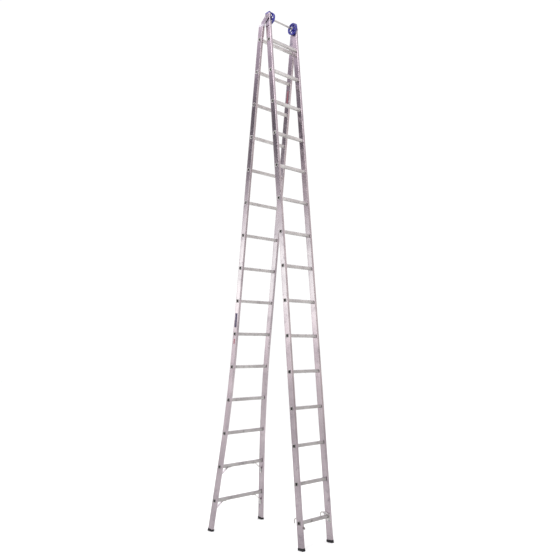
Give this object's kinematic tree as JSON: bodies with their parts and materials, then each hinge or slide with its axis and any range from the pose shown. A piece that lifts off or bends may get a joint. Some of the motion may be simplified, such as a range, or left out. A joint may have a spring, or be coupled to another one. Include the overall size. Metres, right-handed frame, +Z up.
{
  "type": "extension ladder",
  "caption": "Two-section combination ladder standing as an A, with square rungs, a flared base section, rung hooks and wall wheels on the hinge bar.",
  "frame": {"origin": "on the floor, in the middle of the four feet's outline", "axes": "+Z up, +X along the rungs, +Y towards the wide base section's feet"},
  "size_m": [0.584, 1.013, 4.3597],
  "materials": {
    "stile_aluminium": "mill-finish extruded aluminium, satin",
    "rung_aluminium": "mill-finish extruded aluminium, satin",
    "plate_aluminium": "stamped plate, satin",
    "zinc_steel": "bright zinc plate",
    "rivet_steel": "satin",
    "blue_plastic": "moulded, semi-gloss",
    "pale_plastic": "moulded, satin",
    "black_rubber": "moulded, matt"
  },
  "bodies": {
    "base_section": {"base_rung_01": "rung_aluminium", "base_rung_02": "rung_aluminium", "base_rung_03": "rung_aluminium", "base_rung_04": "rung_aluminium", "base_rung_05": "rung_aluminium", "base_rung_06": "rung_aluminium", "base_rung_07": "rung_aluminium", "base_rung_08": "rung_aluminium", "base_rung_09": "rung_aluminium", "base_rung_10": "rung_aluminium", "base_rung_11": "rung_aluminium", "base_rung_12": "rung_aluminium", "base_rung_13": "rung_aluminium", "base_rung_14": "rung_aluminium", "base_rung_15": "rung_aluminium", "base_stile_left": "stile_aluminium", "base_foot_left": "black_rubber", "base_cap_left": "pale_plastic", "base_stile_right": "stile_aluminium", "base_foot_right": "black_rubber", "base_cap_right": "pale_plastic", "hinge_ear_left": "plate_aluminium", "rung_brace_14_left": "zinc_steel", "rung_brace_15_left": "zinc_steel", "hinge_ear_right": "plate_aluminium", "rung_brace_14_right": "zinc_steel", "rung_brace_15_right": "zinc_steel", "base_rivets": "rivet_steel"},
    "hinge_bar": {"hinge_bar": "zinc_steel", "wheel_washers": "zinc_steel"},
    "fly_section": {"fly_rung_01": "rung_aluminium", "fly_rung_02": "rung_aluminium", "fly_rung_03": "rung_aluminium", "fly_rung_04": "rung_aluminium", "fly_rung_05": "rung_aluminium", "fly_rung_06": "rung_aluminium", "fly_rung_07": "rung_aluminium", "fly_rung_08": "rung_aluminium", "fly_rung_09": "rung_aluminium", "fly_rung_10": "rung_aluminium", "fly_rung_11": "rung_aluminium", "fly_rung_12": "rung_aluminium", "fly_rung_13": "rung_aluminium", "fly_rung_14": "rung_aluminium", "fly_rung_15": "rung_aluminium", "fly_stile_left": "stile_aluminium", "fly_foot_left": "black_rubber", "fly_cap_left": "blue_plastic", "fly_stile_right": "stile_aluminium", "fly_foot_right": "black_rubber", "fly_cap_right": "blue_plastic", "head_plate_left": "plate_aluminium", "rung_hook_left": "zinc_steel", "head_plate_right": "plate_aluminium", "rung_hook_right": "zinc_steel", "fly_rivets": "rivet_steel", "hinge_bushes": "pale_plastic"},
    "wheel_left": {"wheel_left": "blue_plastic"},
    "wheel_right": {"wheel_right": "blue_plastic"}
  },
  "joints": [
    {"name": "extension", "type": "slide", "parent": "base_section", "child": "hinge_bar", "axis": [0, -0.1492, 0.9888], "range_m": [0, 3.64]},
    {"name": "fold", "type": "hinge", "parent": "hinge_bar", "child": "fly_section", "pos_m": [0, -0.21605, 4.30614], "axis": [1, 0, 0], "range_deg": [0, 11.25]},
    {"name": "wheel_left_spin", "type": "hinge", "parent": "hinge_bar", "child": "wheel_left", "pos_m": [0, -0.21605, 4.30614], "axis": [1, 0, 0], "continuous": true},
    {"name": "wheel_right_spin", "type": "hinge", "parent": "hinge_bar", "child": "wheel_right", "pos_m": [0, -0.21605, 4.30614], "axis": [1, 0, 0], "continuous": true}
  ]
}
